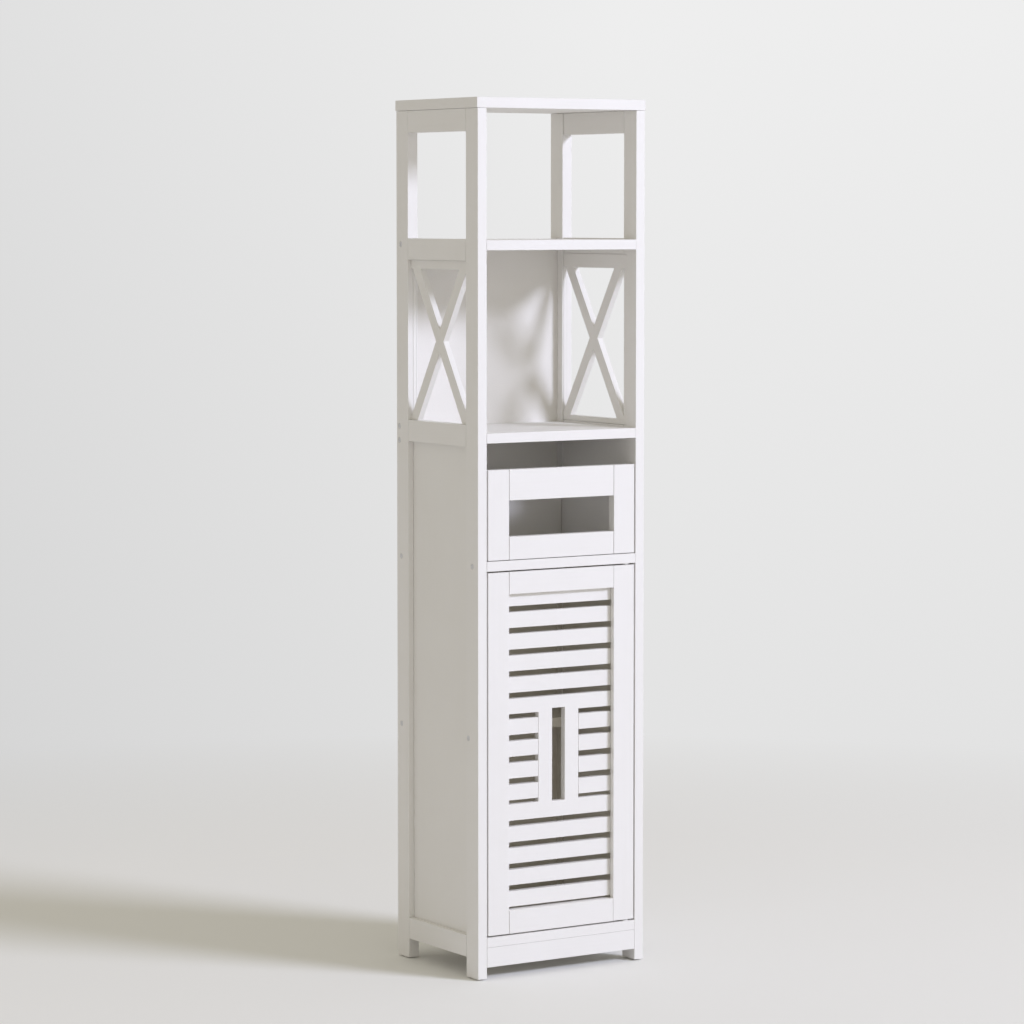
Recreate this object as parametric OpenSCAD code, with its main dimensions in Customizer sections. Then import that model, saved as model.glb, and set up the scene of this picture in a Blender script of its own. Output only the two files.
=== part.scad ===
// Column cabinet: open top bay, cross-braced bay, drawer and slatted door.
// Boxes are given as [from, to] pairs: x from the left frame's outer face,
// y from the front plane back, and z from the floor up.

/* [Overall size] */
// Height from the floor to the top face
height = 1400; // [1380:5:1440]
// Width of the top panel
top_w = 320; // [310:1:340]
// Depth of the top panel
top_d = 250; // [248:1:262]
// How far the top panel stands past the sides and the back
overhang = 1; // [1:0.5:2]
// Thickness of the top panel
top_t = 17; // [15:1:20]
// Thickness of the shelves
board_t = 16; // [15:1:18]

/* [Side frames] */
// Thickness of a front leg, seen from the front
front_leg_t = 17; // [17:1:19]
// Thickness of a rear leg, seen from the front
rear_leg_t = 19; // [18:1:24]
// Width of a leg, seen from the side
leg_w = 36; // [34:1:38]
// Height of the upper, middle and bottom side rails
rail_h = 35; // [34:1:40]
// Height of the side rail under the top panel
top_rail_h = 36; // [34:1:40]
// Thickness of a flat side panel
panel_t = 6; // [5:0.5:6]
// Depth of the side panels behind the outer face
panel_recess = 10; // [9:0.5:10]
// Depth of the rebates and grooves that hold the side panels
rebate = 9; // [6:1:9]

/* [Cross braces] */
// Width of a cross brace
brace_w = 19.5; // [16:0.5:22]
// Thickness of the cross-brace board
brace_t = 10; // [8:0.5:10]
// Height of the band above the cross
brace_band = 14; // [10:1:18]
// How far the cross spreads from its middle at the rails
brace_run = 80; // [76:1:84]

/* [Levels] */
// Top face of the upper shelf
upper_level = 1176; // [1150:1:1180]
// Top face of the middle shelf
middle_level = 872; // [865:1:880]
// Top face of the shelf under the drawer
drawer_level = 669; // [665:1:672]
// Top face of the shelf behind the door
inner_level = 394; // [300:1:450]
// Top face of the bottom shelf
bottom_level = 68; // [64:1:70]
// Underside of the front apron
apron_z = 20; // [16:1:24]
// Gap round the door and the drawer
gap = 2; // [2:0.5:2.5]
// Gap between the drawer front and the shelf under it
drawer_low_gap = 0.6; // [0.4:0.1:2]

/* [Drawer] */
// Height of the drawer front
drawer_h = 143; // [138:1:146]
// Thickness of the drawer front
drawer_front_t = 16; // [15:1:18]
// Height of the rail below the finger opening
drawer_low_rail = 36; // [30:1:40]
// Height of the finger opening
drawer_opening = 57; // [45:1:60]
// Thickness of the drawer box sides
drawer_side_t = 12; // [12:1:13]
// Height of the drawer box sides
drawer_side_h = 103; // [95:1:106]

/* [Door] */
// Thickness of the door frame
door_t = 18; // [18:1:20]
// Width of the stiles of the door and the drawer front
stile_w = 40; // [38:1:42]
// Height of the door's top rail
door_top_rail_h = 36; // [34:1:36]
// Height of the door's bottom rail
door_bottom_rail_h = 38; // [36:1:38]
// Thickness of the slats
slat_t = 12; // [10:1:12]
// Depth of the slats behind the face of the door
slat_recess = 10; // [8:1:10]
// Height of a slat
slat_h = 25.6; // [22:0.2:26]
// Distance from one full-width slat to the next
slat_pitch = 34.7; // [34.5:0.1:34.8]
// Distance from one short slat to the next
short_slat_pitch = 35; // [34:0.5:35]
// Underside of the handle board
handle_z = 250; // [248:0.5:251]
// Height of the handle board
handle_h = 196.5; // [194:0.5:197]
// Width of the handle board's middle
handle_w = 77; // [70:1:90]
// Width of the handle slot
slot_w = 24; // [20:1:28]
// Height of the handle slot
slot_h = 150; // [130:1:155]

/* [Hidden] */
$fn = 48;

white = "#f1f1f4";
shelf_white = "#eeeef1";
steel = "#a9abad";
nylon = "#e6e4dc";
beech = "#c9a878";

body_w = top_w - 2 * overhang;
body_d = top_d - overhang;
glide_h = 2;
leg_top = height - top_t;
far_leg = body_w - front_leg_t;
rear_y = body_d - leg_w;

upper_rail_z = upper_level + 2 - rail_h;
middle_rail_z = middle_level + 12.5 - rail_h;
bottom_rail_z = bottom_level + 0.5 - rail_h;
top_rail_z = leg_top - top_rail_h;
rear_rail_z = middle_level - 33;

back_t = 4;
back_y = body_d - 20;
back_groove = 4;
rear_rail_y = back_y + back_t;

dowel_d = 6;
dowel_l = 30;
dowel_bore_d = 6.1;
dowel_bore_l = 31;
rail_dowel_x = 5.5;
rail_dowel_step = 9;
shelf_dowel_y = 15.8;

screw_d = 5;
screw_l = 45;
screw_head_d = 8;
screw_head_h = 3;
rear_screw_y = body_d - 13;

door_x = [front_leg_t + gap, far_leg - gap];
door_z = [bottom_level + gap, drawer_level - board_t - gap];
door_inner_x = [door_x[0] + stile_w, door_x[1] - stile_w];
slat_tongue = 7.5;
slat_y = [slat_recess, slat_recess + slat_t];
slat_x = [door_inner_x[0] - slat_tongue, door_inner_x[1] + slat_tongue];
handle_top = handle_z + handle_h;
handle_bar_low = 27;
handle_bar_high = 25;
web_x = [(body_w - handle_w) / 2, (body_w + handle_w) / 2];
slat_gap = slat_pitch - slat_h;
top_slat_z = handle_top + slat_gap + 4 * slat_pitch;

pin_d = 5;
pin_l = 27;
pin_x = door_x[1] - 14;
pin_y = 7;
pin_in_door = 15;
// How far behind the front plane the door's edge swings as it opens
door_swing_y = pin_y + norm([door_x[1] - pin_x, door_t - pin_y]);
bush_d = 8;
bush_l = 10;
bush_bore_d = 5.1;
flange_d = 12;
flange_h = gap - 0.4;

// Play of a panel in its rebates and grooves
panel_play = 0.2;
inner_arm_w = 33;
inner_cut_y = 110;

drawer_z = [drawer_level + gap, drawer_level + gap + drawer_h];
drawer_front_z = [drawer_level + drawer_low_gap, drawer_z[1]];
drawer_box_y = [drawer_front_t, rear_y - 5];
drawer_box_z = [drawer_z[0] + 2, drawer_z[0] + 2 + drawer_side_h];
drawer_bottom_z = [drawer_z[0] + 10, drawer_z[0] + 14];
drawer_groove = 5;
runner_h = 17;
runner_z = drawer_z[0] + 54;
runner_groove_depth = 7;
runner_slack = 0.35;
runner_x = front_leg_t + gap + runner_groove_depth - runner_slack - 0.05;

catch_x = [84, 124];
strike_x = [89, 119];

// Moves the cabinet so that its middle stands on the origin
module placed() {
    translate([-body_w / 2, -top_d / 2, 0]) children();
}

// The same piece on the right side
module opposite() {
    mirror([1, 0, 0]) children();
}

// A board between two limits on each axis
module board(x, y, z) {
    translate([x[0], y[0], z[0]]) cube([x[1] - x[0], y[1] - y[0], z[1] - z[0]]);
}

// Round rods along each axis, at two fixed coordinates
module rod_x(d, x, y, z) {
    translate([x[0], y, z]) rotate([0, 90, 0]) cylinder(d = d, h = x[1] - x[0]);
}
module rod_y(d, x, y, z) {
    translate([x, y[1], z]) rotate([90, 0, 0]) cylinder(d = d, h = y[1] - y[0]);
}
module rod_z(d, x, y, z) {
    translate([x, y, z[0]]) cylinder(d = d, h = z[1] - z[0]);
}

// Draws its children on the left side and on the right side
module both_sides() {
    placed() children();
    opposite() placed() children();
}

// Heights of the dowels between the side rails and the legs
rail_bands = [
    [bottom_rail_z, rail_h], [middle_rail_z, rail_h],
    [upper_rail_z, rail_h], [top_rail_z, top_rail_h]
];
rail_dowel_heights = [
    for (band = rail_bands) for (k = [-1, 1]) band[0] + band[1] / 2 + k * rail_dowel_step
];

// Places of the screws in one side frame, as [y, z]
frame_screw_places = [
    [rear_screw_y, upper_level - board_t / 2],
    [body_d - 8, middle_level + 1],
    [body_d - 8, middle_level - 22],
    [rear_screw_y, drawer_level - board_t / 2],
    [rear_screw_y, inner_level - board_t / 2],
    [18, drawer_level - board_t / 2],
    [30, inner_level - board_t / 2]
];

// Places of the dowels between the legs and what stands across them, as [y, z]
cross_dowel_places = [
    [shelf_dowel_y, upper_level - board_t / 2],
    [shelf_dowel_y, middle_level - board_t / 2],
    [shelf_dowel_y, bottom_level - board_t / 2],
    [8, apron_z + 14]
];

// Dowel between a front leg and a shelf or the apron
module cross_dowel(place, d, l) {
    middle = front_leg_t + 3;
    rod_x(d, [middle - l / 2, middle + l / 2], place[0], place[1]);
}

// Dowel between a leg and the end of a side rail
module rail_dowel(y, z, d, l) {
    rod_y(d, rail_dowel_x, [y - l / 2, y + l / 2], z);
}

// Upright dowel between a leg and the top panel
module top_dowel(x, y, d, l) {
    rod_z(d, x, y, [leg_top - l / 2 - 4, leg_top + l / 2 - 4]);
}

// Room for a frame screw and its head
module frame_screw_room(place) {
    rod_x(screw_d + 0.1, [-1, screw_l + 0.5], place[0], place[1]);
    rod_x(screw_head_d + 0.2, [-1, screw_head_h], place[0], place[1]);
}

// Screw with a flat head and a hexagon socket
module frame_screw(place) {
    difference() {
        union() {
            rod_x(screw_d, [0.3, screw_l], place[0], place[1]);
            rod_x(screw_head_d, [0.3, screw_head_h], place[0], place[1]);
        }
        translate([-1, place[0], place[1]]) rotate([0, 90, 0]) cylinder(d = 4.6, h = 3.6, $fn = 6);
    }
}

// Heights between which each leg is rebated or grooved for a panel
panel_spans = [
    [bottom_rail_z + rail_h - rebate, middle_rail_z + rebate],
    [middle_rail_z + rail_h - rebate, upper_rail_z + rebate]
];

// Front leg with stopped rebates for the panels and bores for dowels and screws
module front_leg() {
    color(white) difference() {
        board([0, front_leg_t], [0, leg_w], [glide_h, leg_top]);
        for (z = panel_spans)
            board([panel_recess, front_leg_t + 1], [leg_w - rebate, leg_w + 1], z);
        for (z = rail_dowel_heights) rail_dowel(leg_w, z, dowel_bore_d, dowel_bore_l);
        for (place = cross_dowel_places) cross_dowel(place, dowel_bore_d, dowel_bore_l);
        for (place = frame_screw_places) if (place[0] < leg_w) frame_screw_room(place);
        top_dowel(8.5, 12, dowel_bore_d, dowel_bore_l - 6);
        rod_z(glide_pin_d, front_leg_t / 2, leg_w / 2, [0, glide_pin_top]);
        rod_x(runner_pilot_d, [6, front_leg_t + 1], runner_front_screw_y, runner_z);
    }
}

// Rear leg with stopped grooves for the panels and one groove for the backs
module rear_leg() {
    color(white) difference() {
        board([0, rear_leg_t], [rear_y, body_d], [glide_h, leg_top]);
        for (z = panel_spans)
            board([panel_recess, panel_recess + panel_t], [rear_y - 1, rear_y + rebate], z);
        board([rear_leg_t - 7, rear_leg_t + 1], [back_y, back_y + back_t],
            [bottom_level - board_t, upper_level]);
        for (z = rail_dowel_heights) rail_dowel(rear_y, z, dowel_bore_d, dowel_bore_l);
        for (place = frame_screw_places) if (place[0] > leg_w) frame_screw_room(place);
        top_dowel(10, body_d - 12, dowel_bore_d, dowel_bore_l - 6);
        rod_z(glide_pin_d, rear_leg_t / 2, body_d - leg_w / 2, [0, glide_pin_top]);
    }
}

// Rebate along the inside of a side rail
module rail_rebate(z) {
    board([panel_recess, front_leg_t + 1], [leg_w - 1, rear_y + 1], z);
}

// Side rail from leg to leg, rebated inside along the edges that hold a panel
module side_rail(z, h, rebate_low, rebate_high) {
    color(white) difference() {
        board([0, front_leg_t], [leg_w, rear_y], [z, z + h]);
        if (rebate_low) rail_rebate([z - 1, z + rebate]);
        if (rebate_high) rail_rebate([z + h - rebate, z + h + 1]);
        for (k = [-1, 1]) {
            rail_dowel(leg_w, z + h / 2 + k * rail_dowel_step, dowel_bore_d, dowel_bore_l);
            rail_dowel(rear_y, z + h / 2 + k * rail_dowel_step, dowel_bore_d, dowel_bore_l);
        }
    }
}
module top_rail() side_rail(top_rail_z, top_rail_h, false, false);
module upper_rail() side_rail(upper_rail_z, rail_h, true, false);
module middle_rail() side_rail(middle_rail_z, rail_h, true, true);
module bottom_rail() side_rail(bottom_rail_z, rail_h, false, true);

// Outline of the cross, its band and the border that fills the rebates round it,
// drawn with x along the depth and y up
module cross_outline() {
    low = middle_rail_z + rail_h;
    high = upper_rail_z;
    tilt = atan(2 * brace_run / (high - low));
    translate([body_d / 2, (low + high) / 2]) for (k = [-1, 1])
        rotate(k * tilt) square([brace_w, 2 * (high - low)], center = true);
    difference() {
        translate([0, low - rebate]) square([body_d, high - low + 2 * rebate]);
        translate([leg_w, low]) square([rear_y - leg_w, high - low - brace_band]);
    }
}

// Part of the cross inside a window, between two distances from the outer face
module cross_slice(x, y, z) {
    translate([x[0], 0, 0]) rotate([90, 0, 90]) linear_extrude(x[1] - x[0]) intersection() {
        cross_outline();
        translate([y[0], z[0]]) square([y[1] - y[0], z[1] - z[0]]);
    }
}

// Cross-brace board, thinner where it enters the rebates
module cross_panel() {
    inner = panel_recess + panel_t;
    color(white) union() {
        cross_slice([inner - brace_t, inner], [leg_w, rear_y], [middle_rail_z + rail_h, upper_rail_z]);
        cross_slice([panel_recess, inner], [leg_w - rebate + panel_play, rear_y + rebate - panel_play],
            [middle_rail_z + rail_h - rebate + panel_play, upper_rail_z + rebate - panel_play]);
    }
}

// Flat panel beside the drawer and the door; one frame screw passes through its edge
module side_panel() {
    color(white) difference() {
        board([panel_recess, panel_recess + panel_t],
            [leg_w - rebate + panel_play, rear_y + rebate - panel_play],
            [bottom_rail_z + rail_h - rebate + panel_play, middle_rail_z + rebate - panel_play]);
        for (place = frame_screw_places) frame_screw_room(place);
    }
}

// Shelf between the frames, notched round the rear legs
module shelf(level, y) {
    difference() {
        board([front_leg_t, far_leg], y, [level - board_t, level]);
        for (x = [[0, rear_leg_t], [body_w - rear_leg_t, body_w]])
            board(x, [rear_y, body_d + 1], [level - board_t - 1, level + 1]);
    }
}

// Groove for a back, in the upper or lower face of a shelf
module back_channel(z) {
    board([rear_leg_t, body_w - rear_leg_t], [back_y, back_y + back_t], z);
}

// Bores in both ends of a shelf
module shelf_end_bores() {
    for (place = frame_screw_places) {
        frame_screw_room(place);
        translate([body_w, 0, 0]) mirror([1, 0, 0]) frame_screw_room(place);
    }
    for (place = cross_dowel_places) {
        cross_dowel(place, dowel_bore_d, dowel_bore_l);
        translate([body_w, 0, 0]) mirror([1, 0, 0]) cross_dowel(place, dowel_bore_d, dowel_bore_l);
    }
}

module top_panel() {
    color(white) placed() difference() {
        board([-overhang, body_w + overhang], [0, top_d], [leg_top, height]);
        for (x = [8.5, body_w - 8.5]) top_dowel(x, 12, dowel_bore_d, dowel_bore_l - 6);
        for (x = [10, body_w - 10]) top_dowel(x, body_d - 12, dowel_bore_d, dowel_bore_l - 6);
    }
}

module upper_shelf() {
    color(shelf_white) placed() difference() {
        shelf(upper_level, [0, body_d]);
        back_channel([upper_level - board_t - 1, upper_level - board_t + back_groove]);
        shelf_end_bores();
    }
}

module middle_shelf() {
    color(shelf_white) placed() difference() {
        shelf(middle_level, [0, rear_rail_y]);
        back_channel([middle_level - back_groove, middle_level + 1]);
        back_channel([middle_level - board_t - 1, middle_level - board_t + back_groove]);
        shelf_end_bores();
        for (x = middle_dowel_x) rear_rail_dowel(x, dowel_bore_d, dowel_bore_l - 6);
    }
}

module drawer_shelf() {
    color(shelf_white) placed() difference() {
        shelf(drawer_level, [0, body_d]);
        back_channel([drawer_level - back_groove, drawer_level + 1]);
        back_channel([drawer_level - board_t - 1, drawer_level - board_t + back_groove]);
        shelf_end_bores();
        rod_z(bush_d, pin_x, pin_y, [drawer_level - board_t - 1, drawer_level - board_t + bush_l]);
        catch_screw_holes(catch_pilot_d);
    }
}

// The front is cut back between two arms, which take the front screws
module inner_shelf() {
    color(shelf_white) placed() difference() {
        shelf(inner_level, [door_swing_y + 0.7, body_d]);
        board([front_leg_t + inner_arm_w, far_leg - inner_arm_w], [0, inner_cut_y],
            [inner_level - board_t - 1, inner_level + 1]);
        back_channel([inner_level - back_groove, inner_level + 1]);
        back_channel([inner_level - board_t - 1, inner_level - board_t + back_groove]);
        shelf_end_bores();
    }
}

module bottom_shelf() {
    color(shelf_white) placed() difference() {
        shelf(bottom_level, [0, body_d]);
        back_channel([bottom_level - back_groove, bottom_level + 1]);
        shelf_end_bores();
        rod_z(bush_d, pin_x, pin_y, [bottom_level - bush_l, bottom_level + 1]);
    }
}

module front_apron() {
    color(white) placed() difference() {
        board([front_leg_t, far_leg], [0, board_t], [apron_z, bottom_level - board_t]);
        shelf_end_bores();
    }
}

// Dowels between the rear rail and the middle shelf
middle_dowel_x = [body_w / 2 - 80, body_w / 2 + 80];
module rear_rail_dowel(x, d, l) {
    rod_y(d, x, [rear_rail_y - l / 2 - 2, rear_rail_y + l / 2 - 2], middle_level - board_t / 2);
}

module rear_rail() {
    color(white) placed() difference() {
        board([rear_leg_t, body_w - rear_leg_t], [rear_rail_y, body_d],
            [rear_rail_z, middle_rail_z + rail_h]);
        for (x = middle_dowel_x) rear_rail_dowel(x, dowel_bore_d, dowel_bore_l - 6);
        shelf_end_bores();
    }
}

// Back of one bay, held in grooves in the rear legs and the shelves
module bay_back(z) {
    color(shelf_white) placed() board([rear_leg_t - 6.5, body_w - rear_leg_t + 6.5],
        [back_y, back_y + back_t], z);
}
module cross_bay_back() bay_back([middle_level - back_groove, upper_level - board_t + back_groove]);
module drawer_bay_back() bay_back([drawer_level - back_groove, middle_level - board_t + back_groove]);
module upper_door_bay_back() bay_back([inner_level - back_groove, drawer_level - board_t + back_groove]);
module lower_door_bay_back() bay_back([bottom_level - back_groove, inner_level - board_t + back_groove]);

// Plastic runner on the legs, with a thinner tail along the rear leg
runner_pilot_d = 2.5;
runner_screw_d = 3.5;
runner_head_d = 5.6;
runner_front_screw_y = 22.5;
runner_rear_screw_y = back_y - 3.5;
module runner() {
    z = [runner_z - runner_h / 2, runner_z + runner_h / 2];
    color(nylon) difference() {
        union() {
            board([front_leg_t, runner_x], [18, rear_y], z);
            board([rear_leg_t, runner_x], [rear_y, back_y - 0.2], z);
        }
        for (y = [runner_front_screw_y, runner_rear_screw_y]) {
            rod_x(runner_screw_d + 0.1, [front_leg_t - 1, runner_x + 1], y, runner_z);
            rod_x(runner_head_d + 0.2, [runner_x - 2, runner_x + 1], y, runner_z);
        }
    }
}
module left_runner() placed() runner();
module right_runner() opposite() placed() runner();

// Screw through a runner into a leg; the rear one cuts its own thread in the solid leg
module runner_screw(x, y) {
    difference() {
        union() {
            rod_x(runner_pilot_d, [x, runner_x - 4], y, runner_z);
            rod_x(runner_screw_d, [rear_leg_t, runner_x - 2], y, runner_z);
            rod_x(runner_head_d, [runner_x - 2, runner_x - 0.4], y, runner_z);
        }
        for (turn = [0, 90]) translate([runner_x - 0.4, y, runner_z]) rotate([turn, 0, 0])
            cube([2, 3.4, 0.8], center = true);
    }
}
module runner_screws() {
    color(steel) both_sides() {
        runner_screw(7, runner_front_screw_y);
        runner_screw(9, runner_rear_screw_y);
    }
}

// Nylon bush with a flange that faces the door
module hinge_bush(face, way) {
    translate([pin_x, pin_y, face]) mirror([0, 0, way]) difference() {
        union() {
            translate([0, 0, -bush_l]) cylinder(d = bush_d, h = bush_l);
            cylinder(d = flange_d, h = flange_h);
        }
        translate([0, 0, -bush_l - 1]) cylinder(d = bush_bore_d, h = bush_l + flange_h + 2);
    }
}
module hinge_bushes() {
    color(nylon) placed() {
        hinge_bush(bottom_level, 0);
        hinge_bush(drawer_level - board_t, 1);
    }
}

// Steel pins pressed into both ends of the door's right stile
module hinge_pins() {
    color(steel) placed() {
        rod_z(pin_d, pin_x, pin_y, [door_z[0] + pin_in_door - pin_l + 2, door_z[0] + pin_in_door]);
        rod_z(pin_d, pin_x, pin_y, [door_z[1] - pin_in_door, door_z[1] - pin_in_door + pin_l - 2]);
    }
}

// Magnetic catch under the drawer shelf, and its holes
catch_pilot_d = 2.6;
catch_screw_x = [catch_x[0] + 6, catch_x[1] - 6];
catch_y = [door_t + 1.5, door_t + 15];
catch_z = [drawer_level - board_t - 12, drawer_level - board_t];
module catch_screw_holes(d) {
    for (x = catch_screw_x) rod_z(d, x, 27, [catch_z[0] - 1, catch_z[1] + 8]);
}
module catch_body() {
    color(nylon) placed() difference() {
        board(catch_x, catch_y, catch_z);
        catch_screw_holes(3.2);
        for (x = catch_screw_x) rod_z(6.2, x, 27, [catch_z[0] - 1, catch_z[0] + 2]);
    }
}
module catch_screws() {
    color(steel) placed() for (x = catch_screw_x) difference() {
        union() {
            rod_z(catch_pilot_d, x, 27, [catch_z[0] + 2, catch_z[1] + 7.5]);
            rod_z(6, x, 27, [catch_z[0] + 0.3, catch_z[0] + 2]);
        }
        for (turn = [0, 90]) translate([x, 27, catch_z[0] + 0.3]) rotate([0, 0, turn])
            cube([3.6, 0.8, 2], center = true);
    }
}

// Plastic glides nailed under the feet
glide_pin_d = 3;
glide_pin_top = 14;
module glide(x, y) {
    rod_z(14, x, y, [0, glide_h]);
    rod_z(glide_pin_d, x, y, [0, glide_pin_top]);
}
module foot_glides() {
    color(nylon) both_sides() {
        glide(front_leg_t / 2, leg_w / 2);
        glide(rear_leg_t / 2, body_d - leg_w / 2);
    }
}

module frame_screws() {
    color(steel) both_sides() for (place = frame_screw_places) frame_screw(place);
}

module frame_dowels() {
    color(beech) {
        both_sides() {
            for (z = rail_dowel_heights) for (y = [leg_w, rear_y]) rail_dowel(y, z, dowel_d, dowel_l);
            for (place = cross_dowel_places) cross_dowel(place, dowel_d, dowel_l);
            top_dowel(8.5, 12, dowel_d, dowel_l - 6);
            top_dowel(10, body_d - 12, dowel_d, dowel_l - 6);
        }
        placed() for (x = middle_dowel_x) rear_rail_dowel(x, dowel_d, dowel_l - 6);
    }
}

// Places of the dowels along x in the corners of the drawer front and the door, as [x, y, z]
module drawer_corner_dowels(d, l) {
    for (x = door_inner_x) for (z = [drawer_z[0] + drawer_low_rail / 2, drawer_z[1] - 25])
        rod_x(d, [x - l / 2, x + l / 2], drawer_front_t / 2, z);
}
module drawer_side_dowels(d, l) {
    for (x = [door_x[0] + drawer_side_t / 2, door_x[1] - drawer_side_t / 2])
        for (z = [drawer_z[0] + 28, drawer_box_z[1] - 14])
            rod_y(d, x, [drawer_front_t - l / 2, drawer_front_t + l / 2], z);
}

// Stile of the drawer front, from its outer edge to its inner edge
module drawer_stile() {
    color(white) difference() {
        board([door_x[0], door_inner_x[0]], [0, drawer_front_t], drawer_front_z);
        board([drawer_bottom_x[0], door_inner_x[0] + 1],
            [drawer_front_t - drawer_groove, drawer_front_t + 1], drawer_bottom_z);
        drawer_corner_dowels(dowel_bore_d, dowel_bore_l);
        drawer_side_dowels(dowel_bore_d, 21);
    }
}
module drawer_left_stile() placed() drawer_stile();
module drawer_right_stile() opposite() placed() drawer_stile();

drawer_bottom_x = [door_x[0] + drawer_side_t - drawer_groove, door_x[1] - drawer_side_t + drawer_groove];
module drawer_top_rail() {
    color(white) placed() difference() {
        board(door_inner_x, [0, drawer_front_t],
            [drawer_z[0] + drawer_low_rail + drawer_opening, drawer_z[1]]);
        drawer_corner_dowels(dowel_bore_d, dowel_bore_l);
    }
}
module drawer_bottom_rail() {
    color(white) placed() difference() {
        board(door_inner_x, [0, drawer_front_t], [drawer_front_z[0], drawer_z[0] + drawer_low_rail]);
        board([door_inner_x[0] - 1, door_inner_x[1] + 1],
            [drawer_front_t - drawer_groove, drawer_front_t + 1], drawer_bottom_z);
        drawer_corner_dowels(dowel_bore_d, dowel_bore_l);
    }
}

// Screws through the drawer sides into its back
drawer_screw_places = [
    [drawer_box_y[1] - drawer_side_t / 2, drawer_z[0] + 28],
    [drawer_box_y[1] - drawer_side_t / 2, drawer_box_z[1] - 14]
];
module drawer_side() {
    color(shelf_white) difference() {
        board([door_x[0], door_x[0] + drawer_side_t], drawer_box_y, drawer_box_z);
        board([door_x[0] - 1, door_x[0] + runner_groove_depth],
            [drawer_box_y[0] - 1, drawer_box_y[1] + 1],
            [runner_z - runner_h / 2 - runner_slack, runner_z + runner_h / 2 + runner_slack]);
        board([drawer_bottom_x[0], door_x[0] + drawer_side_t + 1],
            [drawer_box_y[0] - 1, drawer_box_y[1] + 1], drawer_bottom_z);
        drawer_side_dowels(dowel_bore_d, 21);
        for (place = drawer_screw_places) {
            rod_x(3.6, [door_x[0] - 1, door_x[0] + drawer_side_t + 1], place[0], place[1]);
            rod_x(7.2, [door_x[0] - 1, door_x[0] + 2], place[0], place[1]);
        }
    }
}
module drawer_left_side() placed() drawer_side();
module drawer_right_side() opposite() placed() drawer_side();

drawer_inner_x = [door_x[0] + drawer_side_t, door_x[1] - drawer_side_t];
module drawer_back() {
    color(shelf_white) placed() difference() {
        board(drawer_inner_x, [drawer_box_y[1] - drawer_side_t, drawer_box_y[1]],
            [drawer_bottom_z[1], drawer_box_z[1]]);
        for (place = drawer_screw_places) {
            rod_x(2.6, [drawer_inner_x[0] - 1, drawer_inner_x[0] + 20], place[0], place[1]);
            rod_x(2.6, [drawer_inner_x[1] - 20, drawer_inner_x[1] + 1], place[0], place[1]);
        }
    }
}
module drawer_bottom() {
    color(shelf_white) placed() board([drawer_bottom_x[0] + 0.2, drawer_bottom_x[1] - 0.2],
        [drawer_front_t - drawer_groove + 0.2, drawer_box_y[1]], drawer_bottom_z);
}
module drawer_dowels() {
    color(beech) placed() {
        drawer_corner_dowels(dowel_d, dowel_l);
        drawer_side_dowels(dowel_d, 20);
    }
}
module drawer_screws() {
    color(steel) both_sides() for (place = drawer_screw_places) difference() {
        union() {
            rod_x(7, [door_x[0] + 0.3, door_x[0] + 2], place[0], place[1]);
            rod_x(3.5, [door_x[0] + 1, door_x[0] + drawer_side_t], place[0], place[1]);
            rod_x(2.5, [door_x[0] + 1, door_x[0] + 30], place[0], place[1]);
        }
        for (turn = [0, 90]) translate([door_x[0] + 0.3, place[0], place[1]]) rotate([turn, 0, 0])
            cube([2, 4, 0.9], center = true);
    }
}

// Dowels in the corners of the door frame
module door_corner_dowels(d, l) {
    for (x = door_inner_x) for (k = [-1, 1]) {
        rod_x(d, [x - l / 2, x + l / 2], door_t / 2, door_z[0] + door_bottom_rail_h / 2 + k * 9);
        rod_x(d, [x - l / 2, x + l / 2], door_t / 2, door_z[1] - door_top_rail_h / 2 + k * 9);
    }
}

// Stile of the door with a rebate behind its inner edge for the slats
module door_stile() {
    color(white) difference() {
        board([door_x[0], door_inner_x[0]], [0, door_t], door_z);
        board([slat_x[0] - 0.5, door_inner_x[0] + 1], [slat_y[0], door_t + 1],
            [door_z[0] + door_bottom_rail_h, door_z[1] - door_top_rail_h]);
        door_corner_dowels(dowel_bore_d, dowel_bore_l);
    }
}
module door_left_stile() placed() door_stile();
module door_right_stile() {
    difference() {
        opposite() placed() door_stile();
        color(white) placed() {
            rod_z(pin_d, pin_x, pin_y, [door_z[0] - 1, door_z[0] + pin_in_door]);
            rod_z(pin_d, pin_x, pin_y, [door_z[1] - pin_in_door, door_z[1] + 1]);
        }
    }
}
module door_top_rail() {
    color(white) placed() difference() {
        board(door_inner_x, [0, door_t], [door_z[1] - door_top_rail_h, door_z[1]]);
        door_corner_dowels(dowel_bore_d, dowel_bore_l);
        for (x = strike_screw_x) rod_y(strike_pilot_d, x, [door_t - 11, door_t + 1], strike_screw_z);
    }
}
module door_bottom_rail() {
    color(white) placed() difference() {
        board(door_inner_x, [0, door_t], [door_z[0], door_z[0] + door_bottom_rail_h]);
        door_corner_dowels(dowel_bore_d, dowel_bore_l);
    }
}
module door_dowels() {
    color(beech) placed() door_corner_dowels(dowel_d, dowel_l);
}

// Board with the handle slot: two full-width bars joined by a web
module handle_board() {
    color(white) placed() difference() {
        union() {
            board(slat_x, slat_y, [handle_z, handle_z + handle_bar_low]);
            board(slat_x, slat_y, [handle_top - handle_bar_high, handle_top]);
            board(web_x, slat_y, [handle_z, handle_top]);
        }
        board([(body_w - slot_w) / 2, (body_w + slot_w) / 2], [slat_y[0] - 1, slat_y[1] + 1],
            [handle_z + handle_bar_low - 1, handle_z + handle_bar_low - 1 + slot_h]);
    }
}

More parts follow.
